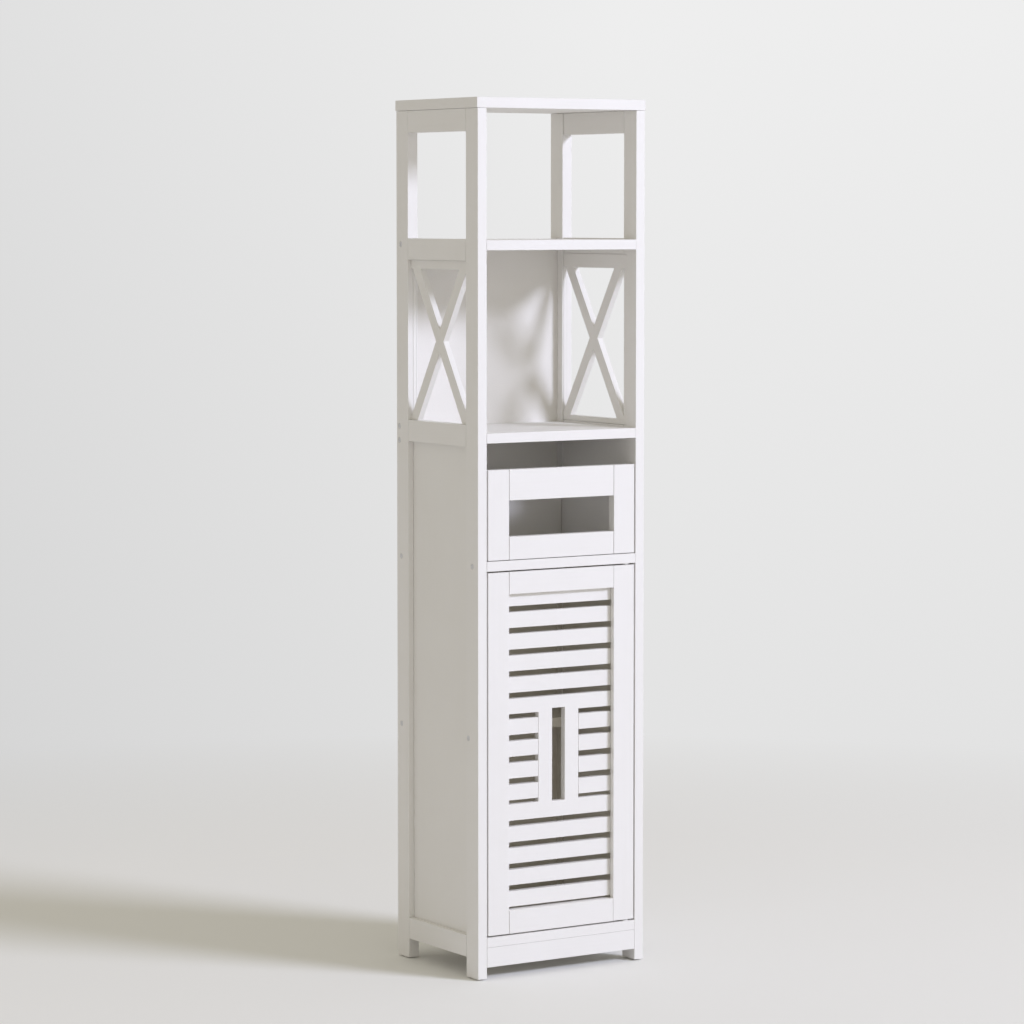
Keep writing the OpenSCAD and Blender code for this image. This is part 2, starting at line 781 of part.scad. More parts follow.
// Full-width slats above the handle board; the top one meets the top rail
module upper_slats() {
    color(white) placed() {
        for (k = [0:3]) {
            z = handle_top + slat_gap + k * slat_pitch;
            board(slat_x, slat_y, [z, z + slat_h]);
        }
        board(slat_x, slat_y, [top_slat_z, door_z[1] - door_top_rail_h]);
    }
}
module lower_slats() {
    color(white) placed() for (k = [0:3]) {
        z = handle_z - slat_gap - k * slat_pitch;
        board(slat_x, slat_y, [z - slat_h, z]);
    }
}

// Short slats beside the web
module short_slats(x) {
    middle = (handle_z + handle_bar_low + handle_top - handle_bar_high) / 2 - 1;
    color(white) placed() for (k = [-1.5, -0.5, 0.5, 1.5]) {
        z = middle + k * short_slat_pitch - slat_h / 2;
        board(x, slat_y, [z, z + slat_h]);
    }
}
module left_short_slats() short_slats([slat_x[0], web_x[0]]);
module right_short_slats() short_slats([web_x[1], slat_x[1]]);

// Steel plate behind the door's top rail that meets the catch, and its screws
strike_t = 1.2;
strike_pilot_d = 2.4;
strike_head_h = 0.8;
strike_screw_x = [strike_x[0] + 5, strike_x[1] - 5];
strike_screw_z = door_z[1] - 7.5;
module strike_plate() {
    color(steel) placed() difference() {
        board(strike_x, [door_t, door_t + strike_t], [door_z[1] - 14, door_z[1] - 1]);
        for (x = strike_screw_x) {
            rod_y(2.8, x, [door_t - 1, door_t + strike_t + 1], strike_screw_z);
            rod_y(5.4, x, [door_t + strike_t - strike_head_h, door_t + strike_t + 1], strike_screw_z);
        }
    }
}
module strike_screws() {
    color(steel) placed() for (x = strike_screw_x) difference() {
        union() {
            rod_y(strike_pilot_d, x, [door_t - 10, door_t + strike_t - 0.1], strike_screw_z);
            rod_y(5.2, x, [door_t + strike_t - strike_head_h, door_t + strike_t - 0.1], strike_screw_z);
        }
        for (turn = [0, 90]) translate([x, door_t + strike_t, strike_screw_z]) rotate([0, turn, 0])
            cube([3.2, 1, 0.7], center = true);
    }
}

module left_front_leg() placed() front_leg();
module right_front_leg() opposite() placed() front_leg();
module left_rear_leg() placed() rear_leg();
module right_rear_leg() opposite() placed() rear_leg();
module left_top_rail() placed() top_rail();
module right_top_rail() opposite() placed() top_rail();
module left_upper_rail() placed() upper_rail();
module right_upper_rail() opposite() placed() upper_rail();
module left_middle_rail() placed() middle_rail();
module right_middle_rail() opposite() placed() middle_rail();
module left_bottom_rail() placed() bottom_rail();
module right_bottom_rail() opposite() placed() bottom_rail();
module left_cross_panel() placed() cross_panel();
module right_cross_panel() opposite() placed() cross_panel();
module left_side_panel() placed() side_panel();
module right_side_panel() opposite() placed() side_panel();

top_panel();
left_front_leg();
right_front_leg();
left_rear_leg();
right_rear_leg();
left_top_rail();
right_top_rail();
left_upper_rail();
right_upper_rail();
left_middle_rail();
right_middle_rail();
left_bottom_rail();
right_bottom_rail();
left_cross_panel();
right_cross_panel();
left_side_panel();
right_side_panel();
upper_shelf();
middle_shelf();
drawer_shelf();
inner_shelf();
bottom_shelf();
front_apron();
rear_rail();
cross_bay_back();
drawer_bay_back();
upper_door_bay_back();
lower_door_bay_back();
left_runner();
right_runner();
hinge_bushes();
catch_body();
foot_glides();
frame_screws();
frame_dowels();
runner_screws();
catch_screws();
drawer_left_stile();
drawer_right_stile();
drawer_top_rail();
drawer_bottom_rail();
drawer_left_side();
drawer_right_side();
drawer_back();
drawer_bottom();
drawer_dowels();
drawer_screws();
door_left_stile();
door_right_stile();
door_top_rail();
door_bottom_rail();
handle_board();
upper_slats();
lower_slats();
left_short_slats();
right_short_slats();
door_dowels();
hinge_pins();
strike_plate();
strike_screws();
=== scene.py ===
"""A white lacquered column cabinet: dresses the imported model, piece by piece."""
import math

import bmesh
import bpy
import numpy as np
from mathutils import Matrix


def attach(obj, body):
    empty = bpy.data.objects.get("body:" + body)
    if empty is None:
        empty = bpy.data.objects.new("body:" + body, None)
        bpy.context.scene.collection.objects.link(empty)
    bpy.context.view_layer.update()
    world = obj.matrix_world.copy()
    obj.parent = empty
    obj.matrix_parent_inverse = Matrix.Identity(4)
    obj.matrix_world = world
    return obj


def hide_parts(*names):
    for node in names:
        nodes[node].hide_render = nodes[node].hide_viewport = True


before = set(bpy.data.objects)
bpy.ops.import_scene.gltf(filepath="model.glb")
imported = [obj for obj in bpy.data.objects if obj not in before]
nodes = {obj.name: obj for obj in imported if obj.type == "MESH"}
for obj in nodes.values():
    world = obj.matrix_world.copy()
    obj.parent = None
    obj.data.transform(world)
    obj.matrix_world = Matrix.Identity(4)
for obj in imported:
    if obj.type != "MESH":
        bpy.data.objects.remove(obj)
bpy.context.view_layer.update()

# Legs and side rails.
# Four legs and eight rails make the two side frames. They are planed boards,
# butted together on dowels and sprayed with white lacquer after assembly, so
# each joint stays visible as a fine line between two eased edges.


def ease(name, width, gap=0.0005):
    """Eases the arrises of a board: each edge sharper than 35 degrees becomes a round of
    that width, and then the surface is drawn in by the gap, which leaves a hairline at
    each joint. Both are in metres."""
    board = nodes[name]
    weld = board.modifiers.new("join_faces", "WELD")
    weld.merge_threshold = 1e-5
    edge = board.modifiers.new("eased_edges", "BEVEL")
    edge.width = width
    edge.segments = 2
    edge.limit_method = "ANGLE"
    edge.angle_limit = math.radians(35)
    edge.use_clamp_overlap = False
    edge.loop_slide = False
    if gap:
        joint = board.modifiers.new("joint_gap", "DISPLACE")
        joint.direction = "NORMAL"
        joint.mid_level = 0
        joint.strength = -gap
    return board


def finish_with(board, material):
    """Gives every face of a CAD node the same material."""
    board.data.materials.clear()
    board.data.materials.append(material)


def new_group(name, inputs, outputs):
    """An empty shader node group with its sockets, given as (name, kind, value)."""
    group = bpy.data.node_groups.new(name, "ShaderNodeTree")
    for label, kind, value in inputs:
        socket = group.interface.new_socket(label, in_out="INPUT", socket_type=kind)
        socket.default_value = value
    for label, kind in outputs:
        group.interface.new_socket(label, in_out="OUTPUT", socket_type=kind)
    return group


def add(tree, kind, **values):
    """A node of that kind; a value named after a socket sets it, any other sets a property."""
    node = tree.nodes.new("ShaderNode" + kind)
    for key, value in values.items():
        socket = node.inputs.get(key.replace("_", " ")) if key[0].isupper() else None
        if socket is None:
            setattr(node, key, value)
        else:
            socket.default_value = value
    return node


def noise(tree, vector, scale, detail):
    """Noise of so many patches per metre along each axis of the given coordinates."""
    node = add(tree, "TexNoise", Scale=scale, Detail=detail, Roughness=0.55)
    tree.links.new(vector, node.inputs["Vector"])
    return node.outputs["Fac"]


def remap(tree, value, low, high, new_low, new_high):
    """A straight line from (low, new_low) to (high, new_high), held at both ends."""
    node = add(tree, "MapRange")
    for socket, number in zip(node.inputs[1:5], (low, high, new_low, new_high)):
        socket.default_value = number
    tree.links.new(value, node.inputs["Value"])
    return node.outputs["Result"]


def sums(tree, operation, a, b):
    """One step of arithmetic on two values, each a socket or a number."""
    node = add(tree, "Math", operation=operation)
    for socket, term in zip(node.inputs, (a, b)):
        if isinstance(term, (int, float)):
            socket.default_value = term
        else:
            tree.links.new(term, socket)
    return node.outputs["Value"]


def blend(tree, amount, a, b):
    """The colour a turning into the colour b as the amount goes from 0 to 1."""
    node = add(tree, "Mix", data_type="RGBA")
    for socket, term in ((0, amount), (6, a), (7, b)):
        if isinstance(term, bpy.types.NodeSocket):
            tree.links.new(term, node.inputs[socket])
        else:
            node.inputs[socket].default_value = term
    return node.outputs[2]


# Sprayed lacquer: cloudy patches as wide as a hand, thin streaks where the board's
# fibres show through, and the small dimples of a sprayed film.
lacquer_film = new_group(
    "lacquer_film",
    [
        ("Colour", "NodeSocketColor", (0.9, 0.9, 0.9, 1)),
        ("Thin Colour", "NodeSocketColor", (0.8, 0.8, 0.8, 1)),
        ("Along", "NodeSocketVector", (1, 1, 0.03)),
        ("Streaks", "NodeSocketFloat", 0.3),
        ("Roughness", "NodeSocketFloat", 0.4),
    ],
    [
        ("Colour", "NodeSocketColor"),
        ("Roughness", "NodeSocketFloat"),
        ("Height", "NodeSocketFloat"),
    ],
)


def fill_lacquer_film(tree):
    """Colour = colour to thin colour by clouds and streaks; roughness falls and rises
    with the clouds; height = dimples + streaks."""
    given = tree.nodes.new("NodeGroupInput").outputs
    made = tree.nodes.new("NodeGroupOutput").inputs
    place = add(tree, "TexCoord").outputs["Object"]
    stretched = add(tree, "VectorMath", operation="MULTIPLY")
    tree.links.new(place, stretched.inputs[0])
    tree.links.new(given["Along"], stretched.inputs[1])
    clouds = noise(tree, place, 7.0, 3.0)
    fibres = noise(tree, stretched.outputs["Vector"], 340.0, 3.0)
    dimples = noise(tree, place, 420.0, 1.0)
    cloud_mask = remap(tree, clouds, 0.35, 0.68, 0.0, 0.45)
    fibre_mask = remap(tree, fibres, 0.5, 0.72, 0.0, 1.0)
    streaks = sums(tree, "MULTIPLY", fibre_mask, given["Streaks"])
    thin = sums(tree, "ADD", cloud_mask, streaks)
    tree.links.new(
        blend(tree, thin, given["Colour"], given["Thin Colour"]), made["Colour"]
    )
    rough = remap(tree, clouds, 0.3, 0.7, -0.05, 0.06)
    tree.links.new(
        sums(tree, "ADD", rough, given["Roughness"]), made["Roughness"]
    )
    relief = sums(tree, "MULTIPLY", streaks, -0.6)
    tree.links.new(sums(tree, "ADD", dimples, relief), made["Height"])


fill_lacquer_film(lacquer_film)


def lacquered(name, along, colour, thin, streaks, roughness, relief):
    """Lacquer on a board whose length runs along the axis with the small number."""
    material = bpy.data.materials.new(name)
    material.use_nodes = True
    tree = material.node_tree
    shader = tree.nodes["Principled BSDF"]
    shader.inputs["IOR"].default_value = 1.48
    shader.inputs["Specular IOR Level"].default_value = 0.25
    film = add(tree, "Group", node_tree=lacquer_film)
    film.inputs["Colour"].default_value = (*colour, 1)
    film.inputs["Thin Colour"].default_value = (*thin, 1)
    film.inputs["Along"].default_value = along
    film.inputs["Streaks"].default_value = streaks
    film.inputs["Roughness"].default_value = roughness
    bump = add(tree, "Bump", Strength=0.35, Distance=relief)
    tree.links.new(film.outputs["Height"], bump.inputs["Height"])
    tree.links.new(film.outputs["Colour"], shader.inputs["Base Color"])
    tree.links.new(film.outputs["Roughness"], shader.inputs["Roughness"])
    tree.links.new(bump.outputs["Normal"], shader.inputs["Normal"])
    return material


upright_lacquer = lacquered(
    "upright_lacquer", (1, 1, 0.03),
    (0.824, 0.809, 0.774), (0.797, 0.78, 0.741), 0.3, 0.42, 0.00012,
)
depth_lacquer = lacquered(
    "depth_lacquer", (1, 0.03, 1),
    (0.824, 0.809, 0.774), (0.797, 0.78, 0.741), 0.3, 0.42, 0.00012,
)

for side in ("left", "right"):
    for piece in ("front_leg", "rear_leg"):
        finish_with(ease(f"{side}_{piece}", 0.0006, 0.0003), upright_lacquer)
    for piece in ("top_rail", "upper_rail", "middle_rail", "bottom_rail"):
        finish_with(ease(f"{side}_{piece}", 0.0005, 0.0003), depth_lacquer)

# Cross braces and side panels.
# The crosses are cut in one piece from 10 mm board, and the flat panels are
# 6 mm board. Both are glued into rebates behind the rails, and are lacquered
# a little thinner than the frames, cut faces included.
panel_lacquer = lacquered(
    "panel_lacquer", (1, 1, 0.05),
    (0.818, 0.803, 0.765), (0.79, 0.773, 0.731), 0.2, 0.46, 0.0001,
)
for side in ("left", "right"):
    finish_with(ease(f"{side}_cross_panel", 0.0003, 0), panel_lacquer)
    finish_with(ease(f"{side}_side_panel", 0.0002, 0), panel_lacquer)

# Top, shelves, apron and rear rail.
# The top panel is 17 mm board and the five shelves are 16 mm board with flush
# front edges; the apron and the rear rail stiffen the frame. Their lacquer is
# worn to a softer gloss, because things are slid over them.
shelf_lacquer = lacquered(
    "shelf_lacquer", (0.03, 1, 1),
    (0.822, 0.806, 0.771), (0.792, 0.776, 0.735), 0.28, 0.56, 0.00011,
)
for piece in ("upper_shelf", "middle_shelf", "drawer_shelf", "inner_shelf", "bottom_shelf"):
    finish_with(ease(piece, 0.0004, 0.0001), shelf_lacquer)
finish_with(ease("top_panel", 0.0006, 0.0001), shelf_lacquer)
for piece in ("front_apron", "rear_rail"):
    finish_with(ease(piece, 0.0005, 0.0002), shelf_lacquer)

# Backs and drawer bottom.
# Four backs and the drawer bottom are 4 mm hard fibreboard with a painted
# face. The paint sinks into the pressed fibres, so the sheet has a fine,
# matt fleck that the lacquered boards don't have.
fibre_sheet = new_group(
    "fibre_sheet",
    [
        ("Colour", "NodeSocketColor", (0.85, 0.85, 0.85, 1)),
        ("Fleck", "NodeSocketColor", (0.7, 0.7, 0.7, 1)),
    ],
    [
        ("Colour", "NodeSocketColor"),
        ("Roughness", "NodeSocketFloat"),
        ("Height", "NodeSocketFloat"),
    ],
)


def fill_fibre_sheet(tree):
    """Flecks = fine noise above a level; clouds = wide noise; both darken the paint."""
    given = tree.nodes.new("NodeGroupInput").outputs
    made = tree.nodes.new("NodeGroupOutput").inputs
    place = add(tree, "TexCoord").outputs["Object"]
    flecks = noise(tree, place, 520.0, 4.0)
    clouds = noise(tree, place, 11.0, 2.0)
    mask = remap(tree, flecks, 0.55, 0.8, 0.0, 0.5)
    shade = remap(tree, clouds, 0.3, 0.7, 0.0, 0.2)
    amount = sums(tree, "ADD", mask, shade)
    tree.links.new(blend(tree, amount, given["Colour"], given["Fleck"]), made["Colour"])
    tree.links.new(remap(tree, flecks, 0.3, 0.7, 0.52, 0.68), made["Roughness"])
    tree.links.new(flecks, made["Height"])


fill_fibre_sheet(fibre_sheet)


def painted_fibreboard(name, colour, fleck):
    """A painted fibreboard face."""
    material = bpy.data.materials.new(name)
    material.use_nodes = True
    tree = material.node_tree
    shader = tree.nodes["Principled BSDF"]
    sheet = add(tree, "Group", node_tree=fibre_sheet)
    sheet.inputs["Colour"].default_value = (*colour, 1)
    sheet.inputs["Fleck"].default_value = (*fleck, 1)
    bump = add(tree, "Bump", Strength=0.3, Distance=0.00008)
    tree.links.new(sheet.outputs["Height"], bump.inputs["Height"])
    tree.links.new(sheet.outputs["Colour"], shader.inputs["Base Color"])
    tree.links.new(sheet.outputs["Roughness"], shader.inputs["Roughness"])
    tree.links.new(bump.outputs["Normal"], shader.inputs["Normal"])
    return material


# The back paint is a pale white tinted a little warmer than the lacquer; the extra warmth is
# painted shade for the inside of the bays and the drawer.
back_paint = painted_fibreboard("back_paint", (0.801, 0.782, 0.735), (0.7, 0.673, 0.619))
for piece in (
    "cross_bay_back", "drawer_bay_back", "upper_door_bay_back",
    "lower_door_bay_back", "drawer_bottom",
):
    finish_with(nodes[piece], back_paint)

# Drawer.
# The front is a frame of two stiles and two rails round a wide finger
# opening; the box behind it has 12 mm sides, grooved for the runners.
for piece in ("drawer_left_stile", "drawer_right_stile"):
    finish_with(ease(piece, 0.0007), upright_lacquer)
for piece in ("drawer_top_rail", "drawer_bottom_rail"):
    finish_with(ease(piece, 0.0007), shelf_lacquer)
for piece in ("drawer_left_side", "drawer_right_side"):
    finish_with(ease(piece, 0.0004), depth_lacquer)
finish_with(ease("drawer_back", 0.0004), shelf_lacquer)

# Door.
# A frame of two stiles and two rails, butted and dowelled, with slats glued
# into rebates behind its face, and a board with an upright slot for a handle.
for piece in ("door_left_stile", "door_right_stile"):
    finish_with(ease(piece, 0.0007), upright_lacquer)
for piece in (
    "door_top_rail", "door_bottom_rail", "upper_slats", "lower_slats",
    "left_short_slats", "right_short_slats", "handle_board",
):
    finish_with(ease(piece, 0.0006, 0.0003), shelf_lacquer)

# Foot glides.
# Four moulded nylon glides are nailed under the feet. Each has a rounded rim, a
# flat sole and an upright nail that holds in the end grain of the leg.
MM = 0.001
FRAME_WIDTH = 318
MIDDLE = (159, 125, 0)
WAYS = {
    "+x": np.array([[0, 0, 1], [1, 0, 0], [0, 1, 0]]),
    "-x": np.array([[0, 0, -1], [1, 0, 0], [0, -1, 0]]),
    "+y": np.array([[0, 1, 0], [0, 0, 1], [1, 0, 0]]),
    "-y": np.array([[0, 1, 0], [0, 0, -1], [-1, 0, 0]]),
    "+z": np.eye(3),
    "-z": np.array([[0, 1, 0], [1, 0, 0], [0, 0, -1]]),
}


def turned(radii, heights, count):
    """Surface of revolution round Z: point (i, k) has the radius radii[i] or
    radii[i, k] and the height heights[i], at the angle 2 pi k / count."""
    angle = np.arange(count) * 2 * np.pi / count
    rings = len(heights)
    radius = np.broadcast_to(np.asarray(radii, float).reshape(rings, -1), (rings, count))
    height = np.broadcast_to(np.asarray(heights, float)[:, None], radius.shape)
    return np.stack([radius * np.cos(angle), radius * np.sin(angle), height], -1)


def closed(grid):
    """Points, quads and triangles of a grid of rings: quads join each ring to the next,
    and a pole in the middle of the first ring and of the last closes the ends."""
    rings, count, _ = grid.shape
    points = np.concatenate(
        [grid.reshape(-1, 3), grid[0].mean(0)[None], grid[-1].mean(0)[None]]
    )
    i, k = np.meshgrid(np.arange(rings - 1), np.arange(count), indexing="ij")
    n = (k + 1) % count
    quads = np.stack(
        [i * count + k, i * count + n, (i + 1) * count + n, (i + 1) * count + k], -1
    )
    k = np.arange(count)
    n = (k + 1) % count
    low = np.stack([n, k, np.full(count, rings * count)], -1)
    high = np.stack([k, n, np.full(count, 0)], -1) + (rings - 1) * count
    high[:, 2] = rings * count + 1
    return points, quads.reshape(-1, 4), np.concatenate([low, high])


def hollow(grid):
    """Points and quads of a grid of rings whose last ring joins back to the first."""
    rings, count, _ = grid.shape
    i, k = np.meshgrid(np.arange(rings), np.arange(count), indexing="ij")
    j, n = (i + 1) % rings, (k + 1) % count
    quads = np.stack([i * count + k, i * count + n, j * count + n, j * count + k], -1)
    return grid.reshape(-1, 3), quads.reshape(-1, 4), np.empty((0, 3), int)


def fitting(name, parts, material, body, stands_for=()):
    """One object from several shells. Each part is (shell, way, spot): the shell's own
    Z axis points the given way, and its origin is at the spot, in millimetres from the
    left frame's outer face, the front plane and the floor. The middle is the origin of
    the whole cabinet, counted the same way."""
    points, faces, first = [], [], 0
    for (local, quads, triangles), way, spot in parts:
        moved = local @ WAYS[way].T + np.array(spot, float) - MIDDLE
        points.append(moved * MM)
        faces += (quads + first).tolist() + (triangles + first).tolist()
        first += len(local)
    mesh = bpy.data.meshes.new(name)
    mesh.from_pydata(np.concatenate(points).tolist(), [], faces)
    mesh.materials.append(material)
    mesh.polygons.foreach_set("use_smooth", np.ones(len(mesh.polygons), bool))
    mesh.set_sharp_from_angle(angle=math.radians(38))
    piece = bpy.data.objects.new(name, mesh)
    bpy.context.scene.collection.objects.link(piece)
    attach(piece, body)
    if stands_for:
        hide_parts(*stands_for)


def both_sides(places):
    """The same places on the left side and mirrored to the right side."""
    return list(places) + [(FRAME_WIDTH - x, y, z) for x, y, z in places]


# Moulded plastic: the fine grain of a spark-eroded mould, a faint flow cloud, and dust
# that greys the faces turned up.
moulded_grain = new_group(
    "moulded_grain",
    [
        ("Colour", "NodeSocketColor", (0.8, 0.8, 0.8, 1)),
        ("Dusty Colour", "NodeSocketColor", (0.7, 0.7, 0.7, 1)),
        ("Grain Scale", "NodeSocketFloat", 2600.0),
    ],
    [
        ("Colour", "NodeSocketColor"),
        ("Roughness", "NodeSocketFloat"),
        ("Height", "NodeSocketFloat"),
    ],
)


def fill_moulded_grain(tree):
    """Grain = noise of the given scale; clouds = wide noise; the dusty colour comes in
    with the clouds and with the upward part of the surface normal."""
    given = tree.nodes.new("NodeGroupInput").outputs
    made = tree.nodes.new("NodeGroupOutput").inputs
    place = add(tree, "TexCoord").outputs["Object"]
    grain = add(tree, "TexNoise", Detail=2.0, Roughness=0.6)
    tree.links.new(place, grain.inputs["Vector"])
    tree.links.new(given["Grain Scale"], grain.inputs["Scale"])
    clouds = noise(tree, place, 90.0, 2.0)
    facing = add(tree, "SeparateXYZ")
    tree.links.new(add(tree, "NewGeometry").outputs["Normal"], facing.inputs[0])
    dust = sums(
        tree, "ADD",
        remap(tree, clouds, 0.35, 0.7, 0.0, 0.45),
        remap(tree, facing.outputs["Z"], 0.3, 1.0, 0.0, 0.35),
    )
    tree.links.new(blend(tree, dust, given["Colour"], given["Dusty Colour"]), made["Colour"])
    tree.links.new(remap(tree, grain.outputs["Fac"], 0.3, 0.7, 0.36, 0.56), made["Roughness"])
    tree.links.new(grain.outputs["Fac"], made["Height"])


fill_moulded_grain(moulded_grain)


def surfaced(name, group, inputs, bump_strength, bump_depth, metallic=0.0, ior=1.5):
    """A material whose colour, gloss and relief come from a group with these values."""
    material = bpy.data.materials.new(name)
    material.use_nodes = True
    tree = material.node_tree
    shader = tree.nodes["Principled BSDF"]
    shader.inputs["Metallic"].default_value = metallic
    shader.inputs["IOR"].default_value = ior
    face = add(tree, "Group", node_tree=group)
    for label, value in inputs.items():
        face.inputs[label].default_value = value
    bump = add(tree, "Bump", Strength=bump_strength, Distance=bump_depth)
    tree.links.new(face.outputs["Height"], bump.inputs["Height"])
    tree.links.new(face.outputs["Colour"], shader.inputs["Base Color"])
    tree.links.new(face.outputs["Roughness"], shader.inputs["Roughness"])
    tree.links.new(bump.outputs["Normal"], shader.inputs["Normal"])
    return material


glide_nylon = surfaced(
    "glide_nylon", moulded_grain,
    {"Colour": (0.74, 0.72, 0.67, 1), "Dusty Colour": (0.56, 0.54, 0.5, 1),
     "Grain Scale": 1800.0},
    0.4, 0.00006,
)
glide_shell = closed(turned(
    [3.2, 5.2, 6.3, 6.8, 6.95, 6.8, 6.5, 2.4, 1.75, 1.45, 1.45, 0.9, 0.3],
    [0.0, 0.0, 0.2, 0.6, 1.2, 1.75, 2.0, 2.0, 2.2, 2.8, 11.6, 13.2, 13.95], 40,
))
fitting(
    "nailed_glides",
    [(glide_shell, "+z", spot) for spot in both_sides([(8.5, 18, 0), (9.5, 231, 0)])],
    glide_nylon, "carcass", ("foot_glides",),
)

# Frame screws.
# Seven coated connector screws in each side frame hold the fixed shelves and the
# rear rail. Their flat heads sit just below the lacquer and have a hexagon socket;
# a coarse thread is rolled along the shank.
plated_mottle = new_group(
    "plated_mottle",
    [
        ("Colour", "NodeSocketColor", (0.6, 0.6, 0.6, 1)),
        ("Dull Colour", "NodeSocketColor", (0.5, 0.5, 0.5, 1)),
        ("Mottle Scale", "NodeSocketFloat", 700.0),
        ("Roughness", "NodeSocketFloat", 0.3),
    ],
    [
        ("Colour", "NodeSocketColor"),
        ("Roughness", "NodeSocketFloat"),
        ("Height", "NodeSocketFloat"),
    ],
)


def fill_plated_mottle(tree):
    """Mottle = noise of the given scale; scratches = noise stretched 30 times along Y;
    both dull the colour, and the mottle moves the roughness by 0.08 either way."""
    given = tree.nodes.new("NodeGroupInput").outputs
    made = tree.nodes.new("NodeGroupOutput").inputs
    place = add(tree, "TexCoord").outputs["Object"]
    mottle = add(tree, "TexNoise", Detail=3.0, Roughness=0.6)
    tree.links.new(place, mottle.inputs["Vector"])
    tree.links.new(given["Mottle Scale"], mottle.inputs["Scale"])
    drawn = add(tree, "VectorMath", operation="MULTIPLY")
    drawn.inputs[1].default_value = (1, 0.033, 1)
    tree.links.new(place, drawn.inputs[0])
    scratches = noise(tree, drawn.outputs["Vector"], 2200.0, 2.0)
    dull = sums(
        tree, "ADD",
        remap(tree, mottle.outputs["Fac"], 0.35, 0.65, 0.0, 0.7),
        remap(tree, scratches, 0.6, 0.75, 0.0, 0.3),
    )
    tree.links.new(blend(tree, dull, given["Colour"], given["Dull Colour"]), made["Colour"])
    spread = remap(tree, mottle.outputs["Fac"], 0.3, 0.7, -0.08, 0.08)
    tree.links.new(sums(tree, "ADD", spread, given["Roughness"]), made["Roughness"])
    tree.links.new(scratches, made["Height"])


fill_plated_mottle(plated_mottle)


def hexagon(across_corners, count):
    """Radius of a hexagon at each of count angles: apothem / cos(angle to the nearest flat)."""
    angle = np.arange(count) * 2 * np.pi / count
    to_flat = angle % (np.pi / 3) - np.pi / 6
    return across_corners / 2 * math.cos(math.pi / 6) / np.cos(to_flat)


def threaded(radius, depth, pitch, start, end, steps, count):
    """Radii and heights of a thread: radius - depth * |2 frac(z / pitch - angle / 2 pi) - 1|,
    faded in over the first pitch and out over the last."""
    z = np.linspace(start, end, steps)
    turn = z[:, None] / pitch - np.arange(count)[None] / count
    fade = np.clip(np.minimum(z - start, end - z) / pitch, 0, 1)[:, None]
    return radius - depth * fade * np.abs(2 * (turn % 1) - 1), z


def even(radii, count):
    """The same radius all round for each of several rings."""
    return np.repeat(np.asarray(radii, float)[:, None], count, 1)


coated_steel = surfaced(
    "coated_steel", plated_mottle,
    {"Colour": (0.72, 0.72, 0.725, 1), "Dull Colour": (0.66, 0.66, 0.66, 1),
     "Mottle Scale": 900.0, "Roughness": 0.42},
    0.15, 0.00004,
)
screw_sides = 18
thread_radii, thread_heights = threaded(2.45, 0.55, 3.2, 3.4, 43.2, 100, screw_sides)
screw_radii = np.concatenate([
    hexagon(3.2, screw_sides)[None] * 0.5,
    hexagon(4.5, screw_sides)[None] * [[0.98], [1.0], [1.06]],
    even([3.5, 3.85, 3.97, 3.97, 3.7, 2.45], screw_sides),
    thread_radii,
    even([2.0, 1.2, 0.4], screw_sides),
])
screw_heights = np.concatenate([
    [0.9, 0.9, 0.3, 0.08, 0.0, 0.12, 0.45, 2.4, 2.68, 2.72],
    thread_heights,
    [43.9, 44.5, 44.68],
])
frame_screw = closed(turned(screw_radii, screw_heights, screw_sides))
head_sink = 0.3
screw_rows = [(236, 1168), (241, 873), (241, 850), (236, 661), (236, 386), (18, 661), (30, 386)]
fitting(
    "threaded_frame_screws",
    [(frame_screw, "+x", (head_sink, y, z)) for y, z in screw_rows]
    + [(frame_screw, "-x", (FRAME_WIDTH - head_sink, y, z)) for y, z in screw_rows],
    coated_steel, "carcass", ("frame_screws",),
)

# Small screws.
# Zinc-plated screws with a cross recess hold the runners, the drawer's back, the
# catch and its plate. The recess is pressed, so its four arms have soft ends.
bright_zinc = surfaced(
    "bright_zinc", plated_mottle,
    {"Colour": (0.66, 0.67, 0.68, 1), "Dull Colour": (0.52, 0.53, 0.55, 1),
     "Mottle Scale": 600.0, "Roughness": 0.3},
    0.25, 0.00003, metallic=1.0,
)


def cross_recess(arm, half_width, count):
    """Radius of a cross at each angle: the nearer of the arm's end and of its sides,
    half width / sine of the angle to the nearest arm."""
    angle = np.arange(count) * 2 * np.pi / count
    to_arm = (angle + np.pi / 4) % (np.pi / 2) - np.pi / 4
    return np.minimum(arm, half_width / np.maximum(np.abs(np.sin(to_arm)), 1e-6))


def small_screw(head, head_height, shank, length, recess_depth):
    """A pan head with rounded rim and cross recess, and a threaded shank with a cone tip;
    head and shank are diameters, the head's face is at 0 and the tip at the length."""
    count = 32
    cross = cross_recess(head * 0.29, head * 0.062, count)[None]
    radii, heights = threaded(
        shank / 2 - 0.02, shank * 0.12, shank * 0.42,
        head_height + 0.2, length - shank, 44, count,
    )
    return closed(turned(
        np.concatenate([
            cross * 0.55, cross * 0.9, cross * 1.02,
            even([head * 0.36, head * 0.45, head * 0.49, head * 0.495, shank * 0.5], count),
            radii, even([shank * 0.34, shank * 0.08], count),
        ]),
        np.concatenate([
            [recess_depth, recess_depth * 0.8, 0.02, 0.0],
            [head_height * part for part in (0.12, 0.4, 0.97, 1.0)],
            heights, [length - shank * 0.6, length - 0.05],
        ]),
        count,
    ))


